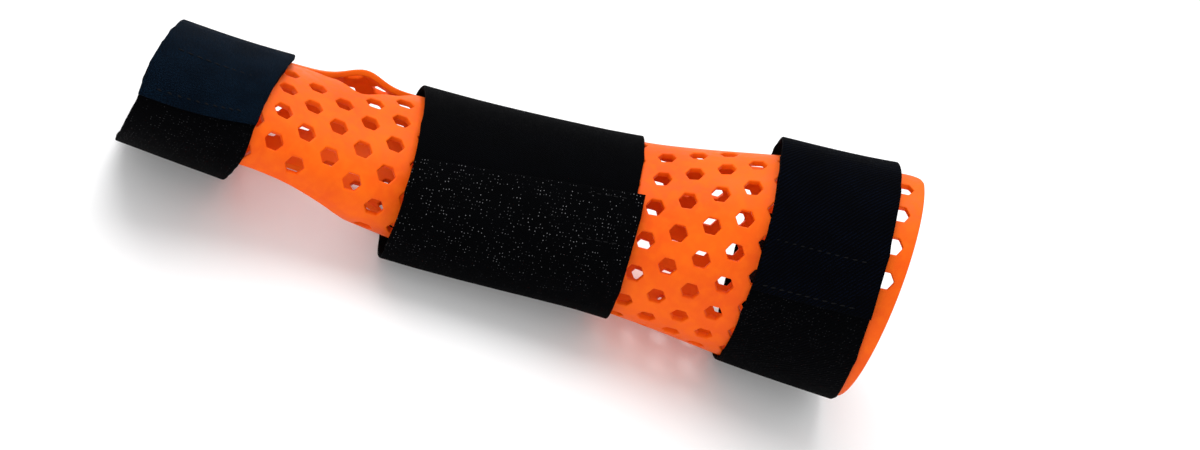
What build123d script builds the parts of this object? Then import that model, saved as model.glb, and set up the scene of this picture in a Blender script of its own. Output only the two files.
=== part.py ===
"""Right-hand wrist and forearm splint.

A perforated plastic sheet, moulded round the palm, wrist and forearm, is open along the back of
the arm.  Three elastic straps close it with hook-and-loop tabs.  The splint lies on its palm
side: +X towards the elbow, -Y towards the thumb, +Z up, in millimetres, with the origin at the
bottom centre of its bounding box.

Places on the moulded form are given by two lengths: the distance along the arm from the fingers'
end, and the girth, which is measured round the form from its thumb-side line, positive upwards.
"""
import math
import os

from build123d import *

os.makedirs("parts", exist_ok=True)

# ---------------------------------------------------------------- driving dimensions
# The moulded form.  One row per station along the arm: distance from the fingers' end,
# centre x, y, z, half width, half height above, half height below, roll in degrees.
STATIONS = [
    (0, -193, -42, 42.5, 46, 20.5, 25, 31),
    (45, -151, -28, 36, 43.5, 21.5, 24, 22.5),
    (85, -112, -19, 34, 39.5, 22.5, 22.5, 9),
    (135, -63, -10.5, 35.5, 38.5, 23.5, 23.5, -6),
    (195, -4, -2, 42, 39.5, 30, 29.5, -11.5),
    (260, 60, 1, 53.5, 39, 47, 44.5, -4),
    (325, 123, 1, 70.5, 43.5, 50.5, 52, 4.5),
]
ORIGIN = (-38.63, -19.86, 6.76)  # where the box's bottom centre falls in the stations' own numbers

SHEET = 2.6  # thickness of the plastic sheet
SHELL_LENGTH = 319.0  # along the back of the arm
RIM_GIRTH = 78.0  # where that length is measured
RIM_LEAN = 8.0  # degrees by which the elbow-end rim leans, shorter on the palm side
FINGER_END = 8.5  # at the middle of the hand
HAND_YAW = 14.0  # degrees by which the knuckle line turns, the far side nearer the elbow
CORNER_RADIUS = 8.0  # rounded elbow-end corner of the slot

# Distances of the sections the sheet is lofted through, closer where its outline turns quickly
SHELL_SECTIONS = [-12, 0, 12, 24, 36, 48, 60, 72, 84, 96, 110, 126, 144, 164, 185, 205, 225, 245]
SHELL_SECTIONS += [265, 285, 302, 310, 314, 317, SHELL_LENGTH, SHELL_LENGTH + 5]
SHELL_STEPS = 20  # spans in each section's curve
BAND_CUTS = [48, 90, 130, 170, 205, 240, 272]  # where the shell is parted to cut its holes
BAND_OVERRUN = 12.0  # how far past its own band a hole's middle may lie and still reach it

# Slot along the back of the arm: rows of distance, girth of its thumb-side edge, gap width
SLOT = [
    (0, 77, 1.2),
    (62, 77, 1.2),
    (74, 70, 8),
    (86, 59.5, 19),
    (98, 66, 13),
    (112, 77, 4),
    (205, 77, 9),
    (240, 84.5, 22),
    (330, 87, 38),
]
FLARE_HEIGHT = 5.0  # how far the far edge springs up at the widest part of the hand slot
FLARE_PLACE = 87.0
FLARE_LENGTH = 10.0
FLARE_GIRTH = 16.0

# Thumb opening: its outline as (distance, girth), from the fingers' end along its upper edge
THUMB_OUTLINE = [
    (22, -8),
    (30, 3),
    (44, 6.5),
    (58, 5.5),
    (70, 2.5),
    (82, -3),
    (90, -9.5),
    (96, -15.5),
    (108, -17),
    (118, -20),
    (121, -28),
    (113, -37),
    (95, -46),
    (70, -52),
    (45, -50),
    (27, -38),
    (19, -22),
]
THUMB_CUT_ANGLE = 40.0  # degrees below the horizontal, the direction the opening is cut in
THUMB_CUT_START = 70.0  # distance of the point on the arm's centre line the cut starts from
THUMB_CUT_DEPTH = 90.0

# Perforation: hexagonal holes on a triangular lattice laid out on the flat sheet
HOLE_ACROSS_FLATS = 6.6
HOLE_PITCH = 14.0
HOLE_MARGIN = 6.2  # least distance from a hole's centre to a cut edge
RIM_MARGIN = 6.0  # the same at the two ends of the shell
CUT_OVERRUN = 1.0  # how far a cut runs past each face of the sheet
LATTICE_TURN = 2.8  # degrees by which the lattice is turned from the arm's line
LATTICE_START = (224.0, 26.4)  # one hole's distance and girth
LATTICE_ROWS = range(-20, 9)
LATTICE_COLUMNS = range(-30, 31)

# Straps: layers above the sheet
PATCH_LAYER = (0.1, 0.6)  # adhesive hook patch on the shell
BAND_LAYER = (0.7, 2.1)
TAB_LAYER = (2.25, 2.8)  # hook tab sewn under the flap
FLAP_LAYER = (2.9, 4.3)
HINGE_GAP = 0.5  # between two stretches of one strap, where it folds
STRAP_STEPS = 36  # spans in a strap's curve right round the form
STRAP_SPACING = 12.0  # between the sections a strap is lofted through

# Two narrow straps.  Each starts under its flap at girth "start", goes down the thumb side,
# under the arm and up the far side, crosses the slot between "far_fold" and "near_fold", and
# its flap lies on top of the start, ending at "end".
NARROW_STRAPS = {
    "hand_strap": {
        "ends": (7.0, 51.5),
        "lean": 0.0,
        "yaw": HAND_YAW,
        "start": 60,
        "far_fold": 104,
        "near_fold": 68,
        "end": 22,
    },
    "forearm_strap": {
        "ends": (257, 306.5),
        "lean": 3.0,
        "yaw": 0.0,
        "start": 66,
        "far_fold": 136,
        "near_fold": 74,
        "end": 14,
    },
}

# The wide wrist strap goes round the other way: up over the slot, down the far side, under
# the arm, and its flap comes up the thumb side.
WRIST_ENDS = (111, 204)
WRIST_FLAP_ENDS = (111, 207)
WRIST_START = -8
WRIST_FOLD = -30
WRIST_RISE = 20  # girth over which the flap climbs onto the strap's start
WRIST_FLAP_END = (25, 36)  # girth of the flap's end, at its two corners
STRAIGHT = (0.0, 0.0)  # its sections neither lean nor yaw

# Hook tabs, hook patches and stitches
TAB_LENGTH = 22.0
TAB_INSET = 2.0  # from the strap's edges
TAB_SETBACK = 1.0  # from the flap's end
PATCH_LENGTH = 25.0
PATCH_INSET = 6.0
THUMB_PATCH_SETBACK = 2.0  # from a narrow strap's start
FAR_PATCH_SETBACK = 10.0  # from its far fold
WRIST_PATCHES = {"thumb_side": WRIST_START + 2, "far_side": 110}  # girths where they start
STITCH_ROWS = (3.0, TAB_LENGTH - 2)  # distances of the rows from the flap's end
STITCH_LENGTH = 2.4
STITCH_WIDTH = 0.5
STITCH_HEIGHT = 0.35
STITCH_PITCH = 3.6
STITCH_MARGIN = 3.0  # from the tab's edges to the first stitch
STITCH_LIFT = 0.15  # gap between a stitch and the flap
SEARCH_REACH = 30.0  # how far along the arm a slanted section may meet the form
SEARCH_HALVINGS = 30

# ---------------------------------------------------------------- the moulded form
def along(distance, column, slope=False):
    """One column of the stations at a distance, by a smooth curve through the rows."""
    k = 0
    while k < len(STATIONS) - 2 and STATIONS[k + 1][0] <= distance:
        k += 1

    def row_slope(i):
        before = STATIONS[max(i - 1, 0)]
        after = STATIONS[min(i + 1, len(STATIONS) - 1)]
        return (after[column] - before[column]) / (after[0] - before[0])

    span = STATIONS[k + 1][0] - STATIONS[k][0]
    t = (distance - STATIONS[k][0]) / span
    start, end = STATIONS[k][column], STATIONS[k + 1][column]
    m0, m1 = row_slope(k) * span, row_slope(k + 1) * span
    if slope:
        rise = (6 * t * t - 6 * t) * (start - end)
        return (rise + (3 * t * t - 4 * t + 1) * m0 + (3 * t * t - 2 * t) * m1) / span
    value = (2 * t**3 - 3 * t * t + 1) * start + (3 * t * t - 2 * t**3) * end
    return value + (t**3 - 2 * t * t + t) * m0 + (t**3 - t * t) * m1


def smooth_row(rows, distance, column):
    """A column of a short table at a distance, eased between the rows."""
    for low, high in zip(rows, rows[1:]):
        if distance <= high[0]:
            t = min(max((distance - low[0]) / (high[0] - low[0]), 0), 1)
            t = t * t * (3 - 2 * t)
            return low[column] + (high[column] - low[column]) * t
    return rows[-1][column]


def arm_frame(distance):
    """Centre, thumb-side direction, upward direction and arm direction of a cross-section."""
    centre = Vector(*(along(distance, c) - ORIGIN[c - 1] for c in (1, 2, 3)))
    arm = Vector(*(along(distance, c, slope=True) for c in (1, 2, 3))).normalized()
    up = Vector(0, -1, 0).cross(arm).normalized()
    return centre, arm.cross(up), up, arm


def section_point(distance, angle, lift=0.0):
    """A point of the cross-section, as its thumb-side and upward coordinates."""
    wide = along(distance, 4)
    high = along(distance, 5 if math.sin(angle) > 0 else 6)
    nx, ny = math.cos(angle) / wide, math.sin(angle) / high
    size = math.hypot(nx, ny)
    x = wide * math.cos(angle) + lift * nx / size
    y = high * math.sin(angle) + lift * ny / size
    roll = math.radians(along(distance, 7))
    return x * math.cos(roll) - y * math.sin(roll), x * math.sin(roll) + y * math.cos(roll)


def form_point(distance, angle, lift=0.0):
    centre, side, up, _ = arm_frame(distance)
    across, above = section_point(distance, angle, lift)
    return centre + side * across + up * above


def form_normal(distance, angle):
    return (form_point(distance, angle, 1) - form_point(distance, angle)).normalized()


def girth_angle(distance, girth):
    """Section angle at a girth, walked round the section from its thumb-side line."""
    roll = math.radians(along(distance, 7))
    high = along(distance, 6 if roll > 0 else 5)
    angle = math.atan2(-along(distance, 4) * math.sin(roll), high * math.cos(roll))
    step = math.copysign(math.radians(1), girth)
    left = abs(girth)
    here = section_point(distance, angle)
    while True:
        there = section_point(distance, angle + step)
        stride = math.dist(here, there)
        if stride >= left:
            return angle + step * left / stride
        left -= stride
        angle += step
        here = there


def round_girth(distance):
    """Girth once right round the form."""
    section = [section_point(distance, math.radians(a)) for a in range(0, 361, 5)]
    return sum(math.dist(here, there) for here, there in zip(section, section[1:]))


def corner_cut(distance):
    """How far the slot's edges turn away from it at its rounded elbow-end corners."""
    reach = min(max(distance - (SHELL_LENGTH - CORNER_RADIUS), 0), CORNER_RADIUS)
    return CORNER_RADIUS - math.sqrt(CORNER_RADIUS**2 - reach**2)


def slot_edge(distance):
    """Girth of the slot's thumb-side edge."""
    return smooth_row(SLOT, distance, 1) - corner_cut(distance)


def slot_far(distance):
    """Girth of the slot's far edge, also measured from the thumb-side line over the top."""
    return smooth_row(SLOT, distance, 1) + smooth_row(SLOT, distance, 2) + corner_cut(distance)


def flare(distance, girth_past_edge):
    """Lift of the sheet near the far edge of the hand slot."""
    along_fall = math.exp(-(((distance - FLARE_PLACE) / FLARE_LENGTH) ** 2))
    return FLARE_HEIGHT * along_fall * math.exp(-((girth_past_edge / FLARE_GIRTH) ** 2))


# ---------------------------------------------------------------- profiles and lofts
def section_plane(distance, lean=0.0, yaw=0.0):
    """The plane of a cross-section, facing the fingers.

    It leans towards the elbow at the top, and turns towards the elbow at the far side, by
    degrees.
    """
    centre, side, up, arm = arm_frame(distance)
    normal = up * math.tan(math.radians(lean)) - side * math.tan(math.radians(yaw)) - arm
    return Plane(origin=centre, x_dir=side, z_dir=normal)


def slanted_distance(middle, slant, angle, lift):
    """Distance at which a slanted section through a middle distance meets the lifted form."""
    plane = section_plane(middle, *slant)
    low, high = middle - SEARCH_REACH, middle + SEARCH_REACH
    for _ in range(SEARCH_HALVINGS):
        half = (low + high) / 2
        if plane.to_local_coords(form_point(half, angle, lift)).Z < 0:
            high = half
        else:
            low = half
    return (low + high) / 2


def ring_point(middle, slant, angle, lift):
    """The same place, as a point of the slanted section's plane."""
    point = form_point(slanted_distance(middle, slant, angle, lift), angle, lift)
    local = section_plane(middle, *slant).to_local_coords(point)
    return (local.X, local.Y)


def ring_sketch(plane, outer, inner):
    """A closed strip between two open curves of points in a plane.

    Every curve has its points at the same parameters, so that a loft through many of them keeps
    a simple surface.
    """
    parameters = [i / (len(outer) - 1) for i in range(len(outer))]
    with BuildSketch(plane) as strip:
        with BuildLine():
            add(Edge.make_spline([Vector(*p) for p in outer], parameters=parameters))
            add(Edge.make_spline([Vector(*p) for p in inner], parameters=parameters))
            Line(outer[0], inner[0])
            Line(outer[-1], inner[-1])
        make_face()
    return strip.sketch


# ---------------------------------------------------------------- splint shell
def shell_profile(distance):
    plane = section_plane(distance)
    edge = girth_angle(distance, slot_edge(distance))
    far = girth_angle(distance, slot_far(distance))
    sweep = 2 * math.pi - (far - edge)
    radius = (along(distance, 4) + along(distance, 5)) / 2
    outer, inner = [], []
    for i in range(SHELL_STEPS + 1):
        angle = far + sweep * i / SHELL_STEPS
        lift = flare(distance, (angle - far) * radius)
        across, above = section_point(distance, angle, lift)
        outer.append((across, above))
        across, above = section_point(distance, angle, lift - SHEET)
        inner.append((across, above))
    return ring_sketch(plane, outer, inner)


def thumb_cut_plane():
    centre, _, _, arm = arm_frame(THUMB_CUT_START)
    drop = math.radians(THUMB_CUT_ANGLE)
    return Plane(origin=centre, x_dir=arm, z_dir=(0, -math.cos(drop), -math.sin(drop)))


def outline_distance(outline, place):
    """Distance of a place on the flat sheet from a closed outline, negative inside it."""
    best, inside = math.inf, False
    for (ax, ay), (bx, by) in zip(outline, outline[1:] + outline[:1]):
        run = (bx - ax) ** 2 + (by - ay) ** 2
        t = ((place[0] - ax) * (bx - ax) + (place[1] - ay) * (by - ay)) / run
        t = min(max(t, 0), 1)
        best = min(best, math.dist(place, (ax + t * (bx - ax), ay + t * (by - ay))))
        if (ay > place[1]) != (by > place[1]):
            if place[0] < ax + (place[1] - ay) / (by - ay) * (bx - ax):
                inside = not inside
    return -best if inside else best


def hole_places():
    """Every lattice place that lies on the sheet, clear of its edges."""
    turn = math.radians(LATTICE_TURN)
    row = (math.cos(math.pi / 6 - turn) * HOLE_PITCH, math.sin(math.pi / 6 - turn) * HOLE_PITCH)
    column = (-math.sin(turn) * HOLE_PITCH, -math.cos(turn) * HOLE_PITCH)
    places = []
    for i in LATTICE_ROWS:
        for j in LATTICE_COLUMNS:
            distance = LATTICE_START[0] + i * row[0] + j * column[0]
            girth = LATTICE_START[1] + i * row[1] + j * column[1]
            if not 0 < distance < SHELL_LENGTH:
                continue
            point = form_point(distance, girth_angle(distance, girth))
            past_fingers = -finger_plane.to_local_coords(point).Z
            before_rim = rim_plane.to_local_coords(point).Z
            if min(past_fingers, before_rim) < RIM_MARGIN:
                continue
            edge = slot_edge(distance)
            far = slot_far(distance) - round_girth(distance)
            if not far + HOLE_MARGIN < girth < edge - HOLE_MARGIN:
                continue
            if outline_distance(THUMB_OUTLINE, (distance, girth)) < HOLE_MARGIN:
                continue
            places.append((distance, girth))
    return places


def hole_plane(distance, girth):
    angle = girth_angle(distance, girth)
    far = girth_angle(distance, slot_far(distance))
    radius = (along(distance, 4) + along(distance, 5)) / 2
    lift = flare(distance, (angle + 2 * math.pi - far) * radius)
    return Plane(
        origin=form_point(distance, angle, lift - SHEET - CUT_OVERRUN),
        x_dir=arm_frame(distance)[3],
        z_dir=form_normal(distance, angle),
    )


finger_plane = section_plane(FINGER_END, yaw=HAND_YAW)
rim_plane = section_plane(SHELL_LENGTH, lean=RIM_LEAN)
rim_plane.origin = form_point(SHELL_LENGTH, girth_angle(SHELL_LENGTH, RIM_GIRTH))
thumb_plane = thumb_cut_plane()
thumb_points = []
for distance, girth in THUMB_OUTLINE:
    on_form = form_point(distance, girth_angle(distance, girth))
    local = thumb_plane.to_local_coords(on_form)
    thumb_points.append((local.X, local.Y))

with BuildPart() as blank:
    loft([shell_profile(distance) for distance in SHELL_SECTIONS])
    split(bisect_by=finger_plane, keep=Keep.BOTTOM)
    split(bisect_by=rim_plane, keep=Keep.TOP)
    with BuildSketch(thumb_plane):
        with BuildLine():
            Spline(*thumb_points, periodic=True)
        make_face()
    extrude(amount=THUMB_CUT_DEPTH, mode=Mode.SUBTRACT)

# The holes are cut band by band along the arm, and the bands then join into one shell.
places = hole_places()
bands = []
cuts = [-math.inf, *BAND_CUTS, math.inf]
for start, end in zip(cuts, cuts[1:]):
    reach = (start - BAND_OVERRUN, end + BAND_OVERRUN)
    holes = [hole_plane(*place) for place in places if reach[0] < place[0] < reach[1]]
    with BuildPart() as band:
        add(blank.part)
        if start > 0:
            split(bisect_by=section_plane(start), keep=Keep.BOTTOM)
        if end < SHELL_LENGTH:
            split(bisect_by=section_plane(end), keep=Keep.TOP)
        with BuildSketch(*holes):
            RegularPolygon(radius=HOLE_ACROSS_FLATS / 2, side_count=6, major_radius=False)
        extrude(amount=SHEET + 2 * CUT_OVERRUN, clean=False, mode=Mode.SUBTRACT)
    bands.append(band.part)

with BuildPart() as splint_shell:
    add(bands)
splint_shell.part.label = "splint_shell"
export_step(splint_shell.part, "parts/splint_shell.step")


# ---------------------------------------------------------------- straps
def girth_between(girth, part):
    """A girth that may differ at the two ends of a strap's width."""
    if isinstance(girth, tuple):
        return girth[0] + (girth[1] - girth[0]) * part
    return girth


def strap_stretch(name, ends, slant, girths, layers, turns=0, rise=None):
    """A stretch of strap from one girth to another, between two distances along the arm.

    slant holds its lean and its yaw.  layers holds its lower and upper lift at the first girth
    and at the last; it climbs from one to the other over rise mm of girth, or over its whole
    length.  turns adds full turns.
    """
    first, last = ends
    sections = max(5, round((last - first) / STRAP_SPACING) + 1)
    middle = (first + last) / 2
    sweep = girth_angle(middle, girth_between(girths[1], 0.5)) + turns * 2 * math.pi
    sweep -= girth_angle(middle, girth_between(girths[0], 0.5))
    spans = max(6, round(abs(sweep) / (2 * math.pi) * STRAP_STEPS))
    rings = []
    for k in range(sections):
        across = k / (sections - 1)
        distance = first + (last - first) * across
        start = girth_angle(distance, girth_between(girths[0], across))
        stop = girth_angle(distance, girth_between(girths[1], across)) + turns * 2 * math.pi
        length = abs(girth_between(girths[1], across) - girth_between(girths[0], across))
        outer, inner = [], []
        for i in range(spans + 1):
            part = i / spans
            angle = start + (stop - start) * part
            climb = part if rise is None else min(part * length / rise, 1)
            low = layers[0][0] + (layers[1][0] - layers[0][0]) * climb
            high = layers[0][1] + (layers[1][1] - layers[0][1]) * climb
            outer.append(ring_point(distance, slant, angle, high))
            inner.append(ring_point(distance, slant, angle, low))
        rings.append(ring_sketch(section_plane(distance, *slant), outer, inner))
    with BuildPart() as stretch:
        loft(rings)
    stretch.part.label = name
    export_step(stretch.part, f"parts/{name}.step")


def stitch_rows(name, ends, slant, girths):
    """Rows of raised stitches across a flap, one short bar each."""
    count = int((ends[1] - ends[0] - 2 * STITCH_MARGIN) / STITCH_PITCH)
    places = []
    for girth in girths:
        for k in range(count):
            middle = ends[0] + STITCH_MARGIN + STITCH_PITCH * (k + 0.5)
            across = (middle - ends[0]) / (ends[1] - ends[0])
            angle = girth_angle(middle, girth_between(girth, across))
            distance = slanted_distance(middle, slant, angle, FLAP_LAYER[1])
            place = form_point(distance, angle, FLAP_LAYER[1] + STITCH_LIFT)
            arm = arm_frame(distance)[3]
            places.append(Plane(origin=place, x_dir=arm, z_dir=form_normal(distance, angle)))
    with BuildPart() as stitching:
        with BuildSketch(*places):
            Rectangle(STITCH_LENGTH, STITCH_WIDTH)
        extrude(amount=STITCH_HEIGHT)
    stitching.part.label = name
    export_step(stitching.part, f"parts/{name}.step")


def narrowed(ends, inset):
    return (ends[0] + inset, ends[1] - inset)


def set_back(girths, back):
    return (girths[0] - back, girths[1] - back)


def report_fold(name, ends, slant, girth, lift):
    """Print the middle and the direction of a fold line, for the joint there."""
    points = []
    for middle in ends:
        angle = girth_angle(middle, girth)
        points.append(form_point(slanted_distance(middle, slant, angle, lift), angle, lift))
    middle = (points[0] + points[1]) / 2
    line = (points[1] - points[0]).normalized()
    place = ", ".join(f"{value:.1f}" for value in middle)
    direction = ", ".join(f"{value:.3f}" for value in line)
    print(f"{name}: fold at ({place}) along ({direction})")


def narrow_strap(name, strap):
    ends, slant = strap["ends"], (strap["lean"], strap["yaw"])
    far, near, end = strap["far_fold"], strap["near_fold"], strap["end"]
    layers = (BAND_LAYER, BAND_LAYER)
    strap_stretch(f"{name}_band", ends, slant, (strap["start"], far), layers, turns=-1)
    bridge = (far - HINGE_GAP, near + HINGE_GAP)
    strap_stretch(f"{name}_bridge", ends, slant, bridge, (BAND_LAYER, FLAP_LAYER))
    strap_stretch(f"{name}_flap", ends, slant, (near, end), (FLAP_LAYER, FLAP_LAYER))
    tab = (end + TAB_LENGTH, end + TAB_SETBACK)
    tab_ends = narrowed(ends, TAB_INSET)
    strap_stretch(f"{name}_hook_tab", tab_ends, slant, tab, (TAB_LAYER, TAB_LAYER))
    stitch_rows(f"{name}_stitching", tab_ends, slant, [end + row for row in STITCH_ROWS])
    patch_ends = narrowed(ends, PATCH_INSET)
    thumb_girth = strap["start"] - THUMB_PATCH_SETBACK - PATCH_LENGTH
    patches = {"thumb_side": thumb_girth, "far_side": far + FAR_PATCH_SETBACK}
    for side, girth in patches.items():
        patch = (girth, girth + PATCH_LENGTH)
        patch_name = f"{name}_{side}_hook_patch"
        strap_stretch(patch_name, patch_ends, slant, patch, (PATCH_LAYER, PATCH_LAYER))
    report_fold(f"{name}_bridge", ends, slant, far, BAND_LAYER[1])
    report_fold(f"{name}_flap", ends, slant, near + HINGE_GAP / 2, FLAP_LAYER[1])


def wrist_strap(name):
    layers = (BAND_LAYER, BAND_LAYER)
    strap_stretch(f"{name}_band", WRIST_ENDS, STRAIGHT, (WRIST_START, WRIST_FOLD), layers, turns=1)
    flap = (WRIST_FOLD + HINGE_GAP, WRIST_FLAP_END)
    climb = (BAND_LAYER, FLAP_LAYER)
    strap_stretch(f"{name}_flap", WRIST_FLAP_ENDS, STRAIGHT, flap, climb, rise=WRIST_RISE)
    tab = [set_back(WRIST_FLAP_END, back) for back in (TAB_LENGTH, TAB_SETBACK)]
    tab_ends = narrowed(WRIST_ENDS, TAB_INSET)
    strap_stretch(f"{name}_hook_tab", tab_ends, STRAIGHT, tab, (TAB_LAYER, TAB_LAYER))
    rows = [set_back(WRIST_FLAP_END, row) for row in STITCH_ROWS]
    stitch_rows(f"{name}_stitching", tab_ends, STRAIGHT, rows)
    patch_ends = narrowed(WRIST_ENDS, PATCH_INSET)
    for side, girth in WRIST_PATCHES.items():
        patch = (girth, girth + PATCH_LENGTH)
        patch_name = f"{name}_{side}_hook_patch"
        strap_stretch(patch_name, patch_ends, STRAIGHT, patch, (PATCH_LAYER, PATCH_LAYER))
    report_fold(f"{name}_flap", WRIST_ENDS, STRAIGHT, WRIST_FOLD + HINGE_GAP / 2, BAND_LAYER[1])


for strap_name, strap in NARROW_STRAPS.items():
    narrow_strap(strap_name, strap)
wrist_strap("wrist_strap")
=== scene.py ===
"""Looks of a right-hand wrist and forearm splint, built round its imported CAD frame.

The moulded form is the one that the CAD parts follow: a place on it is a distance along the arm
from the fingers' end and a girth round it from the thumb-side line, in millimetres.  The plastic
sheet is a mesh laid out flat in those two numbers and bent onto the form, and each elastic strap
is a closed ribbon wound round it.  Meshes are turned into metres when they are made.
"""
import math

import bpy
import numpy as np
from mathutils import Matrix, Vector, geometry


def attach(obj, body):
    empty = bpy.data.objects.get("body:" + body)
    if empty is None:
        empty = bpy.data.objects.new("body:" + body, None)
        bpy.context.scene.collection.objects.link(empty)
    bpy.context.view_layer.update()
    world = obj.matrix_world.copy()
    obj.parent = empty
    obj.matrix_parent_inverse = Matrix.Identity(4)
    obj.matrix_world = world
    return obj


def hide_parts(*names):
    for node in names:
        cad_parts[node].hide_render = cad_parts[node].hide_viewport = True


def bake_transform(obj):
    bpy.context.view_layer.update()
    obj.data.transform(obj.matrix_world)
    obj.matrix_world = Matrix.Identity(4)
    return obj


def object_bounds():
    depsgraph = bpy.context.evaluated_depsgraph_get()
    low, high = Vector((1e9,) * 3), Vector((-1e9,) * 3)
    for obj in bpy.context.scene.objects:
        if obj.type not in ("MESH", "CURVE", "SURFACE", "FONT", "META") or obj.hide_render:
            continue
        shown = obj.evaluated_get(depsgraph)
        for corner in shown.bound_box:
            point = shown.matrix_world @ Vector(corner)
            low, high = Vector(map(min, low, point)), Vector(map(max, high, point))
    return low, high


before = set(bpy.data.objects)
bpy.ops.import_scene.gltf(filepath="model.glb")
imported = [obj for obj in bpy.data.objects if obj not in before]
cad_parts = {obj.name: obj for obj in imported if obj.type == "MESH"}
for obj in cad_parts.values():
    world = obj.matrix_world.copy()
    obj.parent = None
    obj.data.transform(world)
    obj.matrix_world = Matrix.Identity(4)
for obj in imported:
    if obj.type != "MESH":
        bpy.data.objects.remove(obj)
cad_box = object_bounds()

MM = 0.001

# ---------------------------------------------------------------- driving dimensions
# One row per station: distance, centre x, y, z, half width, half height above, below, roll.
STATIONS = np.array([
    (0, -193, -42, 42.5, 46, 20.5, 25, 31),
    (45, -151, -28, 36, 43.5, 21.5, 24, 22.5),
    (85, -112, -19, 34, 39.5, 22.5, 22.5, 9),
    (135, -63, -10.5, 35.5, 38.5, 23.5, 23.5, -6),
    (195, -4, -2, 42, 39.5, 30, 29.5, -11.5),
    (260, 60, 1, 53.5, 39, 47, 44.5, -4),
    (325, 123, 1, 70.5, 43.5, 50.5, 52, 4.5),
])
ORIGIN = np.array((-38.63, -19.86, 6.76))

# the sheet
SHEET = 2.6
SHELL_LENGTH = 319.0
RIM_GIRTH = 78.0  # girth at which the elbow end's slanted cut is at the shell's length
RIM_LEAN = 8.0  # degrees
FINGER_END = 8.5  # distance of the fingers' end, along the middle of the hand
HAND_YAW = 14.0  # degrees by which the fingers' end and the hand strap slant
CORNER_RADIUS = 8.0
# One row per place on the slot: distance, girth of its near edge, width.
SLOT = np.array([
    (0, 77, 1.2),
    (62, 77, 1.2),
    (74, 70, 8),
    (86, 59.5, 19),
    (98, 66, 13),
    (112, 77, 4),
    (205, 77, 9),
    (240, 84.5, 22),
    (330, 87, 38),
])
# The far edge of the slot springs up at its widest place by the hand.
FLARE_HEIGHT = 5.0
FLARE_PLACE = 87.0
FLARE_LENGTH = 10.0
FLARE_GIRTH = 16.0
THUMB_OUTLINE = np.array([
    (22, -8),
    (30, 3),
    (44, 6.5),
    (58, 5.5),
    (70, 2.5),
    (82, -3),
    (90, -9.5),
    (96, -15.5),
    (108, -17),
    (118, -20),
    (121, -28),
    (113, -37),
    (95, -46),
    (70, -52),
    (45, -50),
    (27, -38),
    (19, -22),
])

# the lattice of holes
HOLE_ACROSS_FLATS = 6.6
HOLE_CORNER = 0.55  # radius of a hole's corners
HOLE_PITCH = 14.0
HOLE_MARGIN = 6.2  # least gap between a hole's middle and the slot or the thumb opening
RIM_MARGIN = 6.0  # least gap between a hole's middle and either end
LATTICE_TURN = 2.8  # degrees
LATTICE_START = (224.0, 26.4)
LATTICE_ROWS = (-20, 9)
LATTICE_COLUMNS = (-30, 31)

# the sheet's mesh
EDGE_RADIUS = 0.5  # rounding of the sheet's cut edges
EDGE_BAND = 0.4  # flat band kept beside each rounding, so that it shades evenly
EDGE_STEP = 1.8  # spacing of the points along its outline and its thumb opening
CURVE_STEP = 0.1  # share of a stretch of the thumb opening's curve between two points
SHELL_GRID = 3.4  # spacing of the sheet's inner points
GRID_DISTANCES = (-10, 335)
GRID_GIRTHS = (-330, 130)
EDGE_GAP = 0.5  # least gap from the grid to an edge, as a share of the grid's spacing
HOLE_GAP = 0.35  # and to a hole
LOOP_PARTS = 8  # an edge's points are compared with the grid a part at a time
JOIN_DISTANCE = 1e-5  # flat points closer than this are one point
SLOT_SAMPLES = 320
RIM_SAMPLES = 150
TIP_SAMPLES = 130
NEAR_TIP, FAR_TIP = 4.0, 10.0  # distances at which the slot's two edges come near the fingers' end

# the straps
BAND_LAYER = (0.7, 2.1)
FLAP_LAYER = (2.9, 4.3)
NARROW_STRAPS = {
    "hand_strap": {
        "ends": (7.0, 51.5),
        "lean": 0.0,
        "yaw": HAND_YAW,
        "start": 60,
        "far_fold": 104,
        "near_fold": 68,
        "end": 22,
    },
    "forearm_strap": {
        "ends": (257, 306.5),
        "lean": 3.0,
        "yaw": 0.0,
        "start": 66,
        "far_fold": 136,
        "near_fold": 74,
        "end": 14,
    },
}
STRAIGHT = (0.0, 0.0)
WRIST_ENDS = (111, 204)
WRIST_FLAP_ENDS = (111, 207)
WRIST_START = -8
WRIST_FOLD = -30
WRIST_RISE = 20  # length over which the wrist flap climbs onto the band
WRIST_FLAP_END = (25, 36)
FOLD_LENGTH = 7  # girth past a fold line at which fold_blend measures the step after it

# Where a narrow strap's two edges stray along the arm.  One row per section angle in degrees:
# angle, shift of the edge by the fingers, shift of the edge by the elbow.
HAND_EDGES = np.array([
    (-180, 0, 0),
    (-130, 0.3, 0.2),
    (-80, 0.5, 0.5),
    (-60, 0.5, 0.7),
    (-40, 0.5, 2.2),
    (-25, 0.4, 4.2),
    (-10, 0.2, 4.9),
    (5, -1.2, 4.0),
    (20, -2.0, 2.9),
    (40, -2.2, 1.6),
    (60, -1.5, 1.0),
    (80, -0.5, 1.5),
    (95, 0, 1.8),
    (130, 0, 0),
    (180, 0, 0),
])
FOREARM_EDGES = np.array([
    (-180, 0, 0),
    (30, 0, 0),
    (65, -0.8, 0),
    (95, -2.6, 0),
    (130, -1.0, 0),
    (180, 0, 0),
])

# How far two of the straps stand off the sheet.  A hump is a height, a section angle and a spread.
CORNER_RISE = (5.0, math.radians(100), 0.55)  # forearm strap, in radians
EDGE_RISE = 2.8  # wrist strap, all round
THUMB_SIDE_RISE = (2.0, 318, 25)  # wrist strap, in degrees
UNDERSIDE_DROP = (-1.3, 270, 22)
EDGE_RISE_REACH = 0.85  # share of the width over which the wrist strap comes back down
EDGE_RISE_POWER = 1.2

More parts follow.
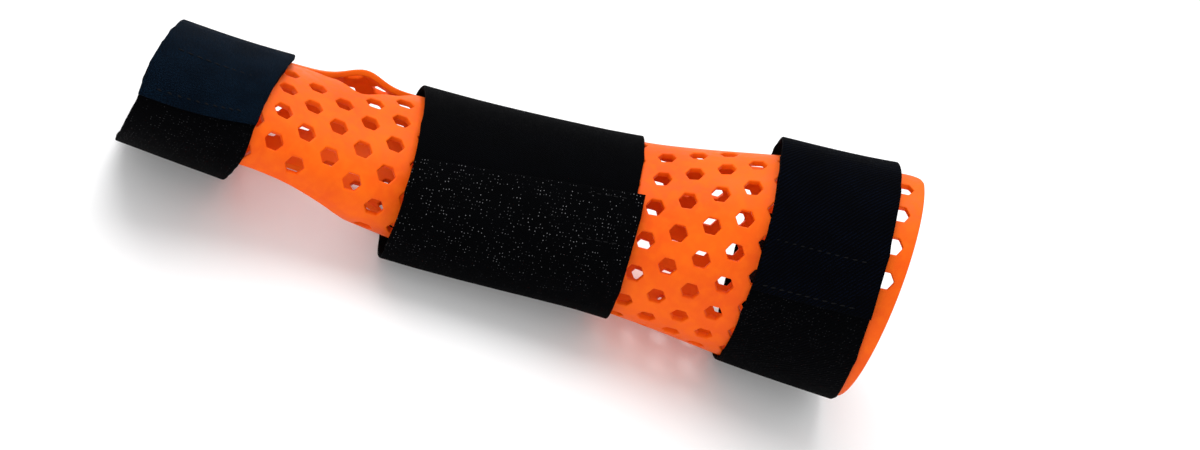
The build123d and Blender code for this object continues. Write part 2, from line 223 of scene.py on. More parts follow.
# the straps' meshes
TAPE_STEP = 1.4
SECTION_BENDS = np.arange(-67.5, 90, 22.5)  # degrees round each rounded edge of a tape
NOSE = np.array([0.04, 0.3, 0.65])  # places along a rounded free end, as shares of its radius
END_HOLD = 12  # length at each end of a tape that its waves leave alone
WAVE_HEIGHT = 0.12
HAND_WAVE_HEIGHT = 0.25
WAVE_COUNT = 4
WAVE_PACE = 0.035  # radians per millimetre of tape, for the slowest wave
SEED_PACE, SEED_PACE_LIMIT = 0.013, 0.05  # how a seed changes the pace
SEED_START = 2.1  # and where its waves start
WAVE_SLANT = 37  # how far along the tape a wave gets from one edge to the other
FRAY = 0.3  # how far the edges waver
FRAY_PACE = 6.0
FRAY_SEED = 3

# the stitches
TAB_LENGTH = 22.0
TAB_SETBACKS = (3, TAB_LENGTH - 2)  # the two rows, from the flap's end
STITCH_LENGTH = 2.4
STITCH_PITCH = 3.6
STITCH_HALF_WIDTH = 0.3
STITCH_HALF_HEIGHT = 0.22
STITCH_LIFT = 0.02  # of a stitch's middle line above the tape
STITCH_SIDES = 8
STITCH_RINGS = 5
STITCH_BLUNTNESS = 0.92  # share of a stitch's half length at which its end is cut flat
STITCH_MARGIN = 5  # from the tape's edges

# how closely places on the form are found
TABLE_STEP = 2.0
TABLE_GIRTH = 420
TABLE_DISTANCES = np.arange(-20, 342, TABLE_STEP)
TABLE_GIRTHS = np.arange(-TABLE_GIRTH, TABLE_GIRTH + 1.0)
TURN = 360
WALK = 540  # degrees walked each way round a section from the thumb-side line
TABLE_END = 1.001  # keeps the last place inside the table's last cell
SEARCH_HALVINGS = 28
SLANT_REACH = 30  # distance by which a slanted section may stray from its middle
FINGER_SEARCH = (-18.0, 40.0)
RIM_SEARCH = (280.0, 338.0)
FLAT_STEP = 0.5  # to measure how the flat sheet stretches onto the form
SAMPLES = 200  # along a tape, to measure it


# ---------------------------------------------------------------- the moulded form
def hermite(t, start, end, start_slope, end_slope):
    """A smooth curve between two values, for shares t of the way."""
    value = (2 * t**3 - 3 * t * t + 1) * start + (3 * t * t - 2 * t**3) * end
    return value + (t**3 - 2 * t * t + t) * start_slope + (t**3 - t * t) * end_slope


def row_slopes():
    last = len(STATIONS) - 1
    before = STATIONS[[max(i - 1, 0) for i in range(last + 1)]]
    after = STATIONS[[min(i + 1, last) for i in range(last + 1)]]
    return (after - before) / (after[:, :1] - before[:, :1])


SLOPES = row_slopes()


def along(distance, column, slope=False):
    """One column of the stations, or its slope, at each distance, by a smooth curve."""
    rows = STATIONS[:, 0]
    k = np.clip(np.searchsorted(rows, distance, side="right") - 1, 0, len(rows) - 2)
    span = rows[k + 1] - rows[k]
    t = (distance - rows[k]) / span
    start, end = STATIONS[k, column], STATIONS[k + 1, column]
    m0, m1 = SLOPES[k, column] * span, SLOPES[k + 1, column] * span
    if slope:
        rise = (6 * t * t - 6 * t) * (start - end)
        return (rise + (3 * t * t - 4 * t + 1) * m0 + (3 * t * t - 2 * t) * m1) / span
    return hermite(t, start, end, m0, m1)


def unit(vectors):
    return vectors / np.linalg.norm(vectors, axis=-1, keepdims=True)


def arm_frame(distance):
    """Centre, thumb-side direction, upward direction and arm direction of each section."""
    centre = np.stack([along(distance, c) for c in (1, 2, 3)], -1) - ORIGIN
    arm = unit(np.stack([along(distance, c, slope=True) for c in (1, 2, 3)], -1))
    up = unit(np.cross((0.0, -1.0, 0.0), arm))
    return centre, np.cross(arm, up), up, arm


def section_point(distance, angle, lift):
    """Points of the cross-sections, as thumb-side and upward coordinates."""
    wide = along(distance, 4)
    high = np.where(np.sin(angle) > 0, along(distance, 5), along(distance, 6))
    nx, ny = np.cos(angle) / wide, np.sin(angle) / high
    size = np.hypot(nx, ny)
    x = wide * np.cos(angle) + lift * nx / size
    y = high * np.sin(angle) + lift * ny / size
    roll = np.radians(along(distance, 7))
    return x * np.cos(roll) - y * np.sin(roll), x * np.sin(roll) + y * np.cos(roll)


def form_point(distance, angle, lift):
    values = (np.asarray(value, float) for value in (distance, angle, lift))
    distance, angle, lift = np.broadcast_arrays(*values)
    centre, side, up, _ = arm_frame(distance)
    across, above = section_point(distance, angle, lift)
    return centre + side * across[..., None] + up * above[..., None]


def zero_angle(distance):
    """Section angle of the thumb-side line."""
    roll = np.radians(along(distance, 7))
    high = np.where(roll > 0, along(distance, 6), along(distance, 5))
    return np.arctan2(-along(distance, 4) * np.sin(roll), high * np.cos(roll))


def angle_table():
    """The angle of every girth at every distance, and each section's whole girth."""
    turns = np.radians(np.arange(-WALK, WALK + 1))
    table, rounds = [], []
    for distance in TABLE_DISTANCES:
        angles = zero_angle(distance) + turns
        x, y = section_point(np.full_like(angles, distance), angles, 0.0)
        walked = np.concatenate([[0.0], np.cumsum(np.hypot(np.diff(x), np.diff(y)))])
        walked -= walked[WALK]
        table.append(np.interp(TABLE_GIRTHS, walked, angles))
        rounds.append(walked[WALK + TURN])
    return np.array(table), np.array(rounds)


ANGLES, ROUNDS = angle_table()


def girth_angle(distance, girth):
    """Section angle at each girth, from the table."""
    distance, girth = np.broadcast_arrays(np.asarray(distance, float), np.asarray(girth, float))
    row = (distance - TABLE_DISTANCES[0]) / TABLE_STEP
    row = np.clip(row, 0, len(TABLE_DISTANCES) - TABLE_END)
    column = np.clip(girth + TABLE_GIRTH, 0, len(TABLE_GIRTHS) - TABLE_END)
    i, j = row.astype(int), column.astype(int)
    a, b = row - i, column - j
    low = ANGLES[i, j] * (1 - b) + ANGLES[i, j + 1] * b
    high = ANGLES[i + 1, j] * (1 - b) + ANGLES[i + 1, j + 1] * b
    return low * (1 - a) + high * a


def round_girth(distance):
    return np.interp(distance, TABLE_DISTANCES, ROUNDS)


def on_form(distance, girth, lift=0.0):
    return form_point(distance, girth_angle(distance, girth), lift)


def smooth_row(rows, distance, column):
    """A column of a short table at each distance, eased between the rows."""
    k = np.clip(np.searchsorted(rows[:, 0], distance) - 1, 0, len(rows) - 2)
    t = np.clip((distance - rows[k, 0]) / (rows[k + 1, 0] - rows[k, 0]), 0, 1)
    t = t * t * (3 - 2 * t)
    return rows[k, column] * (1 - t) + rows[k + 1, column] * t


def corner_cut(distance):
    """How far the slot's edges turn away at the rounded corners of the elbow end."""
    reach = np.clip(distance - (SHELL_LENGTH - CORNER_RADIUS), 0, CORNER_RADIUS)
    return CORNER_RADIUS - np.sqrt(CORNER_RADIUS**2 - reach**2)


def slot_edge(distance):
    return smooth_row(SLOT, distance, 1) - corner_cut(distance)


def far_edge(distance):
    """Girth of the slot's far edge, measured the other way round, under the arm."""
    over = smooth_row(SLOT, distance, 1) + smooth_row(SLOT, distance, 2) + corner_cut(distance)
    return over - round_girth(distance)


def flare(distance, girth):
    """Lift of the sheet near the far edge of the hand slot."""
    past = girth - far_edge(distance)
    along_fall = np.exp(-(((distance - FLARE_PLACE) / FLARE_LENGTH) ** 2))
    return FLARE_HEIGHT * along_fall * np.exp(-((past / FLARE_GIRTH) ** 2))


def section_normal(distance, lean=0.0, yaw=0.0):
    """Centre and fingerward normal of a slanted section."""
    centre, side, up, arm = arm_frame(np.asarray(float(distance)))
    slant = up * math.tan(math.radians(lean)) - side * math.tan(math.radians(yaw))
    return centre, slant - arm


def plane_distance(centre, normal, low, high, place):
    """Distance at which place(distance) crosses a plane, between low and high."""
    low, high = np.array(low, float), np.array(high, float)
    for _ in range(SEARCH_HALVINGS):
        half = (low + high) / 2
        past = ((place(half) - centre) * normal).sum(-1) < 0
        high = np.where(past, half, high)
        low = np.where(past, low, half)
    return (low + high) / 2


# ---------------------------------------------------------------- meshes
def make_piece(name, points, faces, material, sharp, cloth=None):
    """A mesh object from points in millimetres; cloth holds each point's place on the tape."""
    mesh = bpy.data.meshes.new(name)
    mesh.from_pydata((np.asarray(points) * MM).tolist(), [], faces)
    if cloth is not None:
        attribute = mesh.attributes.new("cloth", "FLOAT_VECTOR", "POINT")
        attribute.data.foreach_set("vector", np.asarray(cloth, np.float32).ravel())
    mesh.materials.append(material)
    mesh.polygons.foreach_set("use_smooth", [True] * len(mesh.polygons))
    mesh.set_sharp_from_angle(angle=math.radians(sharp))
    mesh.update()
    piece = bpy.data.objects.new(name, mesh)
    bpy.context.scene.collection.objects.link(piece)
    return piece


def ring_skin(rings, around):
    """Faces between rings of points that follow each other."""
    faces = []
    for r in range(rings - 1):
        for k in range(around):
            n = (k + 1) % around
            faces.append((r * around + k, r * around + n, (r + 1) * around + n, (r + 1) * around + k))
    return faces


def inside(loop, points):
    """Which flat points lie inside a closed loop."""
    x, y = points[:, 0], points[:, 1]
    result = np.zeros(len(points), bool)
    for (ax, ay), (bx, by) in zip(loop, np.roll(loop, -1, axis=0)):
        crosses = (ay > y) != (by > y)
        if crosses.any():
            result ^= crosses & (x < ax + (y - ay) / (by - ay) * (bx - ax))
    return result


def even_loop(points, step):
    """A closed loop of flat points, spaced evenly."""
    closed = np.vstack([points, points[:1]])
    walked = np.concatenate([[0.0], np.cumsum(np.linalg.norm(np.diff(closed, axis=0), axis=1))])
    places = np.linspace(0, walked[-1], int(walked[-1] / step), endpoint=False)
    return np.stack([np.interp(places, walked, closed[:, c]) for c in (0, 1)], 1)


def moved_loop(loop, amount):
    """A loop moved to its left by an amount."""
    run = unit(np.roll(loop, -1, axis=0) - np.roll(loop, 1, axis=0))
    return loop + np.stack([-run[:, 1], run[:, 0]], 1) * amount


def outline_distance(outline, points):
    """Distance of flat points from a closed outline, negative inside it."""
    best = np.full(len(points), np.inf)
    for a, b in zip(outline, np.roll(outline, -1, axis=0)):
        run = b - a
        t = np.clip(((points - a) @ run) / (run @ run), 0, 1)
        best = np.minimum(best, np.linalg.norm(points - a - t[:, None] * run, axis=1))
    return np.where(inside(outline, points), -best, best)


# ---------------------------------------------------------------- splint shell
FINGER_PLANE = section_normal(FINGER_END, yaw=HAND_YAW)
RIM_PLANE = (on_form(SHELL_LENGTH, RIM_GIRTH), section_normal(SHELL_LENGTH, lean=RIM_LEAN)[1])


def end_distance(plane, search, girth):
    """Distance at which the sheet is cut off by one of its end planes, at each girth."""
    low, high = np.full_like(girth, search[0]), np.full_like(girth, search[1])
    return plane_distance(*plane, low, high, lambda d: on_form(d, girth))


def finger_distance(girth):
    return end_distance(FINGER_PLANE, FINGER_SEARCH, girth)


def rim_distance(girth):
    return end_distance(RIM_PLANE, RIM_SEARCH, girth)


def shell_outline():
    """The cut sheet's outline on the flat, clockwise from the fingers along the slot."""
    near_start = float(finger_distance(slot_edge(np.array([NEAR_TIP])))[0])
    near = np.linspace(near_start, SHELL_LENGTH, SLOT_SAMPLES)
    far_start = float(finger_distance(far_edge(np.array([FAR_TIP])))[0])
    far_end = float(rim_distance(far_edge(np.array([SHELL_LENGTH])))[0])
    far = np.linspace(min(far_end, SHELL_LENGTH), far_start, SLOT_SAMPLES)
    rim = np.linspace(slot_edge(SHELL_LENGTH), far_edge(SHELL_LENGTH), RIM_SAMPLES)[1:-1]
    tips = np.linspace(far_edge(far_start), slot_edge(near_start), TIP_SAMPLES)[1:-1]
    return np.vstack([
        np.stack([near, slot_edge(near)], 1),
        np.stack([rim_distance(rim), rim], 1),
        np.stack([far, far_edge(far)], 1),
        np.stack([finger_distance(tips), tips], 1),
    ])


def thumb_loop():
    """The thumb opening's outline, clockwise, by a smooth closed curve through its points."""
    before, after = np.roll(THUMB_OUTLINE, 1, axis=0), np.roll(THUMB_OUTLINE, -1, axis=0)
    slope = (after - before) / 2
    next_slope = np.roll(slope, -1, axis=0)
    shares = np.arange(0, 1, CURVE_STEP)
    points = [hermite(t, THUMB_OUTLINE, after, slope, next_slope) for t in shares]
    return np.stack(points, 1).reshape(-1, 2)


def hole_places():
    """Every lattice place that lies on the sheet, clear of its edges."""
    turn = math.radians(LATTICE_TURN)
    row = np.array((math.cos(math.pi / 6 - turn), math.sin(math.pi / 6 - turn))) * HOLE_PITCH
    column = np.array((-math.sin(turn), -math.cos(turn))) * HOLE_PITCH
    i, j = np.meshgrid(np.arange(*LATTICE_ROWS), np.arange(*LATTICE_COLUMNS))
    places = np.array(LATTICE_START) + i.reshape(-1, 1) * row + j.reshape(-1, 1) * column
    places = places[(places[:, 0] > 0) & (places[:, 0] < SHELL_LENGTH)]
    d, g = places.T
    clear = (g < slot_edge(d) - HOLE_MARGIN) & (g > far_edge(d) + HOLE_MARGIN)
    spots = on_form(d, g)
    for (centre, normal), side in ((FINGER_PLANE, -1), (RIM_PLANE, 1)):
        clear &= ((spots - centre) * unit(normal)).sum(-1) * side > RIM_MARGIN
    clear &= outline_distance(THUMB_OUTLINE.astype(float), places) > HOLE_MARGIN
    return places[clear]


def flat_axes(places):
    """For each place, the flat steps that make 1 mm along the arm and 1 mm round it."""
    d, g = places.T
    along_step = (on_form(d + FLAT_STEP, g) - on_form(d - FLAT_STEP, g)) / (2 * FLAT_STEP)
    round_step = (on_form(d, g + FLAT_STEP) - on_form(d, g - FLAT_STEP)) / (2 * FLAT_STEP)
    arm = arm_frame(d)[3]
    normal = unit(np.cross(along_step, round_step))
    first = unit(arm - normal * (arm * normal).sum(-1, keepdims=True))
    second = np.cross(normal, first)
    jacobian = np.stack([
        np.stack([(along_step * first).sum(-1), (round_step * first).sum(-1)], -1),
        np.stack([(along_step * second).sum(-1), (round_step * second).sum(-1)], -1),
    ], -2)
    return np.linalg.inv(jacobian)


def hexagons(places, axes, grow):
    """A rounded hexagon round each place, grown outwards, clockwise on the flat."""
    radius = HOLE_CORNER + grow
    corner = (HOLE_ACROSS_FLATS / 2 - HOLE_CORNER) / math.cos(math.pi / 6)
    shape = []
    for k in range(6):
        middle = k * math.pi / 3
        for turn in (-30, 0, 30):
            angle = middle + math.radians(turn)
            shape.append((
                corner * math.cos(middle) + radius * math.cos(angle),
                corner * math.sin(middle) + radius * math.sin(angle),
            ))
    return places[:, None] + np.einsum("hij,nj->hni", axes, np.array(shape)[::-1])


def edge_rings():
    """(offset into the sheet, depth) of the rings that round a cut edge off, from outside in."""
    turns = [math.radians(a) for a in (0, 30, 60, 90)]
    top = [(EDGE_RADIUS * (1 - math.sin(a)), EDGE_RADIUS * (1 - math.cos(a))) for a in turns]
    return top + [(offset, SHEET - depth) for offset, depth in reversed(top)]


def inner_points(outline, thumb, places, hole_reach):
    """An even grid of points on the flat sheet, clear of its edges and its holes."""
    grid = []
    for k, distance in enumerate(np.arange(*GRID_DISTANCES, SHELL_GRID * math.sqrt(3) / 2)):
        girths = np.arange(*GRID_GIRTHS, SHELL_GRID) + (k % 2) * SHELL_GRID / 2
        grid.append(np.stack([np.full_like(girths, distance), girths], 1))
    grid = np.vstack(grid)
    grid = grid[inside(outline, grid) & ~inside(thumb, grid)]
    for loop in (outline, thumb):
        for part in np.array_split(loop, LOOP_PARTS):
            gap = np.linalg.norm(grid[:, None] - part[None], axis=2).min(1)
            grid = grid[gap > SHELL_GRID * EDGE_GAP]
    nearest = np.full(len(grid), np.inf)
    for place in places:
        nearest = np.minimum(nearest, np.linalg.norm(grid - place, axis=1))
    return grid[nearest > hole_reach]


def flat_sheet(border, grid):
    """Points and triangles of the flat sheet.  border is its outline, thumb opening and holes."""
    flat = np.vstack([*border, grid])
    owner = [np.full(len(loop), k) for k, loop in enumerate(border)]
    owner = np.concatenate([*owner, np.full(len(grid), -1)])
    edges, first = [], 0
    for loop in border:
        count = len(loop)
        edges += [(first + k, first + (k + 1) % count) for k in range(count)]
        first += count
    made = geometry.delaunay_2d_cdt([Vector(p) for p in flat], edges, [], 0, JOIN_DISTANCE)
    original = [ids[0] for ids in made[3]]
    faces = np.array([[original[v] for v in face] for face in made[2]])
    middles = flat[faces].mean(axis=1)
    owners = owner[faces]
    in_hole = (owners[:, 0] > 1) & (owners == owners[:, :1]).all(1)
    return flat, faces[inside(border[0], middles) & ~inside(border[1], middles) & ~in_hole]


def edge_walls(border, levels):
    """Faces that join the rings of every cut edge.  levels are each ring's first points."""
    faces, start = [], 0
    for loop in border:
        size = len(loop)
        for upper, lower in zip(levels, levels[1:]):
            for k in range(size):
                a, b = start + k, start + (k + 1) % size
                faces.append((upper + b, upper + a, lower + a, lower + b))
        start += size
    return faces


def build_shell(material):
    outline = even_loop(shell_outline(), EDGE_STEP)[::-1]
    thumb = even_loop(thumb_loop(), EDGE_STEP)
    places = hole_places()
    axes = flat_axes(places)
    inset = EDGE_RADIUS + EDGE_BAND

    def cut_edges(offset):
        """Every cut edge, moved into the sheet, as a loop with the sheet on its left."""
        holes = hexagons(places, axes, offset)
        return [moved_loop(outline, offset), moved_loop(thumb, offset), *holes]

    border = cut_edges(inset)
    hole_reach = HOLE_ACROSS_FLATS / 2 / math.cos(math.pi / 6) + inset + SHELL_GRID * HOLE_GAP
    flat, faces = flat_sheet(border, inner_points(*border[:2], places, hole_reach))

    # both sides of the sheet, then the rounded walls between them
    lifts = flare(*flat.T)
    count = len(flat)
    points = [on_form(*flat.T, lifts), on_form(*flat.T, lifts - SHEET)]
    faces = faces.tolist()
    faces += [[v + count for v in reversed(face)] for face in faces]
    rings = edge_rings()
    for offset, depth in rings:
        ring = np.vstack(cut_edges(offset))
        points.append(on_form(*ring.T, flare(*ring.T) - depth))
    border_count = sum(len(loop) for loop in border)
    levels = [0] + [2 * count + k * border_count for k in range(len(rings))] + [count]
    faces += edge_walls(border, levels)
    shell = make_piece("moulded_shell", np.vstack(points), faces, material, sharp=75)
    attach(shell, "root")
    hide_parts("splint_shell")


# ---------------------------------------------------------------- straps
def slanted(middle, slant, angle, lift):
    """Where slanted sections through the middle distances meet the lifted form."""
    lean, yaw = (math.tan(math.radians(a)) for a in slant)
    if not lean and not yaw:
        return form_point(middle, angle, lift)
    centre, side, up, arm = arm_frame(middle)
    normal = up * lean - side * yaw - arm
    low, high = middle - SLANT_REACH, middle + SLANT_REACH
    distance = plane_distance(centre, normal, low, high, lambda d: form_point(d, angle, lift))
    return form_point(distance, angle, lift)


def between(girth, part):
    """A girth that may differ between a strap's two edges, at a share of its width."""
    if isinstance(girth, tuple):
        return girth[0] + (girth[1] - girth[0]) * part
    return girth + 0 * part


def waves(values, seed, size):
    """Slow irregular waves, the same each run."""
    total = np.zeros_like(values, dtype=float)
    for k in range(1, WAVE_COUNT + 1):
        pace = WAVE_PACE * k + SEED_PACE * seed % SEED_PACE_LIMIT
        total += np.sin(values * pace + seed * SEED_START * k) / k
    return total * size / 2


class Tape:
    """A stretch of tape wound on the form, closed all round, with rounded edges.

    ends are the distances of its two edges, girths those of its start and its end, and layers the
    (lower, upper) lifts at each.  turns adds whole turns.  rise is the length over which it climbs
    from the first layer to the second.  swell adds a lift of its own, edges shifts the two edges
    along the arm, wave is the height of its waves, and run_before the tape used up before it.
    """

    def __init__(self, name, ends, slant, girths, layers, seed, turns=0, rise=None, free_start=False,
                 free_end=False, swell=None, edges=None, wave=WAVE_HEIGHT, run_before=0.0):
        self.name, self.ends, self.slant, self.girths, self.layers = name, ends, slant, girths, layers
        self.seed, self.turns, self.rise, self.wave = seed, turns, rise, wave
        self.free_start, self.free_end = free_start, free_end
        self.swell, self.edges, self.run_before = swell, edges, run_before

    def place(self, across, part):
        """Middle distance and angle for a share of the width and of the length."""
        first, last = self.ends
        middle = first + (last - first) * across
        start = girth_angle(middle, between(self.girths[0], across))
        stop = girth_angle(middle, between(self.girths[1], across)) + self.turns * 2 * math.pi
        return middle, start + (stop - start) * part

    def length(self):
        """Length of the stretch along its middle line."""
        part = np.linspace(0, 1, SAMPLES)
        middle, angle = self.place(np.full(SAMPLES, 0.5), part)
        lift = sum(self.layers[0]) / 4 + sum(self.layers[1]) / 4
        points = slanted(middle, self.slant, angle, np.full(SAMPLES, lift))
        return float(np.linalg.norm(np.diff(points, axis=0), axis=1).sum())

    def section(self, width, half):
        """Once round the tape: (distance in from the first edge, share of the half thickness)."""
        inner = np.linspace(half, width - half, int(width / TAPE_STEP))
        bend = np.radians(SECTION_BENDS)
        upper = [(a, 1.0) for a in inner]
        last = [(width - half + half * math.cos(b), math.sin(b)) for b in bend[::-1]]
        lower = [(a, -1.0) for a in inner[::-1]]
        first = [(half - half * math.cos(b), math.sin(b)) for b in bend]
        return np.array(upper + last + lower + first), len(inner)

    def rows(self, length, half):
        """Places along the tape and the share of its thickness there, rounded at a free end."""
        rows = np.linspace(0, length, int(length / TAPE_STEP))
        plump = np.ones(len(rows))
        nose = half * NOSE
        squeeze = np.sqrt(1 - (1 - NOSE) ** 2)
        if self.free_start:
            rows, plump = np.r_[nose, rows[1:]], np.r_[squeeze, plump[1:]]
        if self.free_end:
            rows, plump = np.r_[rows[:-1], length - nose[::-1]], np.r_[plump[:-1], squeeze[::-1]]
        return rows, plump

    def points(self, a, b, height, width, length):
        """The tape's points from their places across and along it, and their winding."""
        across, part = a / width, b / length
        middle, angle = self.place(across, part)
        half = (self.layers[0][1] - self.layers[0][0]) / 2
        climb = part if self.rise is None else np.clip(b / self.rise, 0, 1)
        low = self.layers[0][0] + (self.layers[1][0] - self.layers[0][0]) * climb
        lift = low + half + half * height
        ends_still = np.clip(np.minimum(b, length - b) / END_HOLD, 0, 1)
        lift += waves(b + WAVE_SLANT * across, self.seed, self.wave) * ends_still
        if self.swell is not None:
            lift += self.swell(angle, across)
        shift = waves(b * FRAY_PACE, self.seed + FRAY_SEED, FRAY) * (2 * across - 1) * ends_still
        if self.edges is not None:
            turn = (np.degrees(angle) + 180) % 360 - 180
            first, last = (np.interp(turn, self.edges[:, 0], self.edges[:, c]) for c in (1, 2))
            shift += first * (1 - across) + last * across
        winds_back = angle[-1, 0] < angle[0, 0]
        return slanted(middle + shift, self.slant, angle, lift).reshape(-1, 3), winds_back

    def build(self, material):
        width, length = self.ends[1] - self.ends[0], self.length()
        half = (self.layers[0][1] - self.layers[0][0]) / 2
        section, top = self.section(width, half)
        rows, plump = self.rows(length, half)
        a, b = np.meshgrid(section[:, 0], rows)
        height = np.broadcast_to(section[:, 1], a.shape) * plump[:, None]
        points, winds_back = self.points(a, b, height, width, length)
        cloth = np.stack([a, b + self.run_before, np.zeros_like(a)], -1).reshape(-1, 3)
        count, around = a.shape
        faces = ring_skin(count, around)
        for row, flip in ((0, False), (count - 1, True)):
            faces += cap(row * around, top, len(SECTION_BENDS), around, flip)
        if winds_back:
            faces = [tuple(reversed(face)) for face in faces]
        return make_piece(self.name, points, faces, material, sharp=50, cloth=cloth)


def cap(start, top, bend, around, flip):
    """Faces that close the end of a tape, from its upper side to its lower one."""
    upper = list(range(start, start + top))
    lower = list(range(start + top + bend, start + 2 * top + bend))[::-1]
    faces = [(upper[k], lower[k], lower[k + 1], upper[k + 1]) for k in range(top - 1)]
    last = list(range(start + top, start + top + bend))
    first = list(range(start + 2 * top + bend, start + around))
    faces.append((upper[-1], lower[-1], *reversed(last)))
    faces.append((lower[0], upper[0], *reversed(first)))
    return [tuple(reversed(face)) for face in faces] if flip else faces


def fold_blend(piece, ends, slant, girth, onward):
    """Find a fold line and the step a few millimetres after it, but only bake the piece's place into its
    mesh; nothing is bent.
    """
    lift = np.full(3, sum(BAND_LAYER) / 2)
    middle = np.array([ends[0], ends[1], (ends[0] + ends[1]) / 2])
    line = slanted(middle, slant, girth_angle(middle, girth), lift)
    after = slanted(middle, slant, girth_angle(middle, girth + onward), lift)[2]
    along_fold = unit(line[1] - line[0])
    step = after - line[2]
    step -= along_fold * (step @ along_fold)
    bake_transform(piece)


def stitch_shape():
    """Points and faces of one rounded stitch, laid along x."""
    turn = np.linspace(0, 2 * math.pi, STITCH_SIDES, endpoint=False)
    share = np.linspace(-STITCH_BLUNTNESS, STITCH_BLUNTNESS, STITCH_RINGS)
    size = np.sqrt(1 - share**2)
    points = np.stack([
        np.repeat(share, STITCH_SIDES) * STITCH_LENGTH / 2,
        np.outer(size, np.cos(turn)).ravel() * STITCH_HALF_WIDTH,
        np.outer(size, np.sin(turn)).ravel() * STITCH_HALF_HEIGHT,
    ], 1)
    total = STITCH_RINGS * STITCH_SIDES
    ends = [tuple(reversed(range(STITCH_SIDES))), tuple(range(total - STITCH_SIDES, total))]
    return points, ring_skin(STITCH_RINGS, STITCH_SIDES) + ends


def stitches(name, ends, slant, girths, body):
    """Rows of rounded stitches across a flap's end."""
    template, skin = stitch_shape()
    middle = np.arange(ends[0] + STITCH_MARGIN, ends[1] - STITCH_MARGIN, STITCH_PITCH)
    part = (middle - ends[0]) / (ends[1] - ends[0])
    points, faces = [], []
    for girth in girths:
        angle = girth_angle(middle, between(girth, part))
        lift = np.full_like(middle, FLAP_LAYER[1] + STITCH_LIFT)
        place = slanted(middle, slant, angle, lift)
        normal = unit(slanted(middle, slant, angle, lift + 1) - place)
        arm = slanted(middle + 1, slant, angle, lift) - place
        arm = unit(arm - normal * (arm * normal).sum(-1, keepdims=True))
        round_way = np.cross(normal, arm)
        for p, a, r, n in zip(place, arm, round_way, normal):
            base = len(points) * len(template)
            points.append(p + template @ np.stack([a, r, n]))
            faces += [tuple(v + base for v in face) for face in skin]
    piece = make_piece(f"{name}_stitches", np.vstack(points), faces, MATERIALS["thread"], sharp=80)
    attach(piece, body)
    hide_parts(f"{name}_stitching")
    return piece


def declare_tape(tape, node):
    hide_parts(node)
    width = (tape.ends[1] - tape.ends[0]) * MM
    print(f"{tape.name}: flat {width * 1000:.0f} by {tape.length():.0f} mm")
    flat = (round(width, 4), round(tape.length() * MM, 3))


def narrow_strap(name, **looks):
    """A strap that runs under the arm as a band, over the slot as a bridge, then as a flap."""
    strap = NARROW_STRAPS[name]
    ends, slant = strap["ends"], (strap["lean"], strap["yaw"])
    far, near, end = strap["far_fold"], strap["near_fold"], strap["end"]
    bridge_body, flap_body = f"{name}_bridge_body", f"{name}_flap_body"

    band = Tape(f"{name}_band_tape", ends, slant, (strap["start"], far), (BAND_LAYER, BAND_LAYER),
                turns=-1, free_start=True, **looks)
    # each band wears a painted shade copy of its strap's elastic, darker because the band below the flap
    # faces down
    piece = band.build(MATERIALS[f"{name}_under"])
    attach(piece, "root")
    declare_tape(band, f"{name}_band")

    bridge = Tape(f"{name}_bridge_tape", ends, slant, (far, near), (BAND_LAYER, FLAP_LAYER), **looks)
    piece = bridge.build(MATERIALS[name])
    fold_blend(piece, ends, slant, far, -FOLD_LENGTH)
    declare_tape(bridge, f"{name}_bridge")

    flap = Tape(f"{name}_flap_tape", ends, slant, (near, end), (FLAP_LAYER, FLAP_LAYER),
                free_end=True, run_before=bridge.length(), **looks)
    piece = flap.build(MATERIALS[name])
    fold_blend(piece, ends, slant, near, -FOLD_LENGTH)
    rows = tuple(end + back for back in TAB_SETBACKS)
    sewn = stitches(name, ends, slant, rows, flap_body)
    declare_tape(flap, f"{name}_flap")


def wrist_strap(name, **looks):
    """A strap that runs once round over the slot as a band, then laps over itself as a flap."""
    band = Tape(f"{name}_band_tape", WRIST_ENDS, STRAIGHT, (WRIST_START, WRIST_FOLD),
                (BAND_LAYER, BAND_LAYER), turns=1, free_start=True, **looks)
    piece = band.build(MATERIALS[name])
    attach(piece, "root")
    declare_tape(band, f"{name}_band")

    flap = Tape(f"{name}_flap_tape", WRIST_FLAP_ENDS, STRAIGHT, (WRIST_FOLD, WRIST_FLAP_END),
                (BAND_LAYER, FLAP_LAYER), rise=WRIST_RISE, free_end=True, **looks)
    piece = flap.build(MATERIALS[f"{name}_flap"])
    fold_blend(piece, WRIST_ENDS, STRAIGHT, WRIST_FOLD, FOLD_LENGTH)
    rows = tuple(tuple(g - back for g in WRIST_FLAP_END) for back in reversed(TAB_SETBACKS))
    sewn = stitches(name, WRIST_FLAP_ENDS, STRAIGHT, rows, f"{name}_flap_body")
    declare_tape(flap, f"{name}_flap")


def hump(angle, height, middle, spread):
    """A smooth rise round one section angle."""
    return height * np.exp(-(((angle - middle) / spread) ** 2))


def raised_corner(angle, across):
    """The forearm strap stands off the sheet where it crosses the slot, most at its wrist side."""
    return hump(angle, *CORNER_RISE) * (1 - across) ** 2


def loose_edge(angle, across):
    """The wrist strap stands off the narrowest part of the wrist along its edge near the hand."""
    turn = np.degrees(angle) % 360
    most = EDGE_RISE + hump(turn, *THUMB_SIDE_RISE) + hump(turn, *UNDERSIDE_DROP)
    return most * np.clip(1 - across / EDGE_RISE_REACH, 0, 1) ** EDGE_RISE_POWER


# ---------------------------------------------------------------- materials
def new_material(name, **sockets):
    material = bpy.data.materials.new(name)
    material.use_nodes = True
    shader = material.node_tree.nodes["Principled BSDF"]
    for socket, value in sockets.items():
        shader.inputs[socket.replace("_", " ")].default_value = value
    return material, material.node_tree, shader


def node(tree, kind, inputs=None, **settings):
    made = tree.nodes.new("ShaderNode" + kind)
    for setting, value in settings.items():
        setattr(made, setting, value)
    for socket, value in (inputs or {}).items():
        if isinstance(value, bpy.types.NodeSocket):
            tree.links.new(value, made.inputs[socket])
        else:
            made.inputs[socket].default_value = value
    return made


def object_place(tree):
    return node(tree, "TexCoord").outputs["Object"]


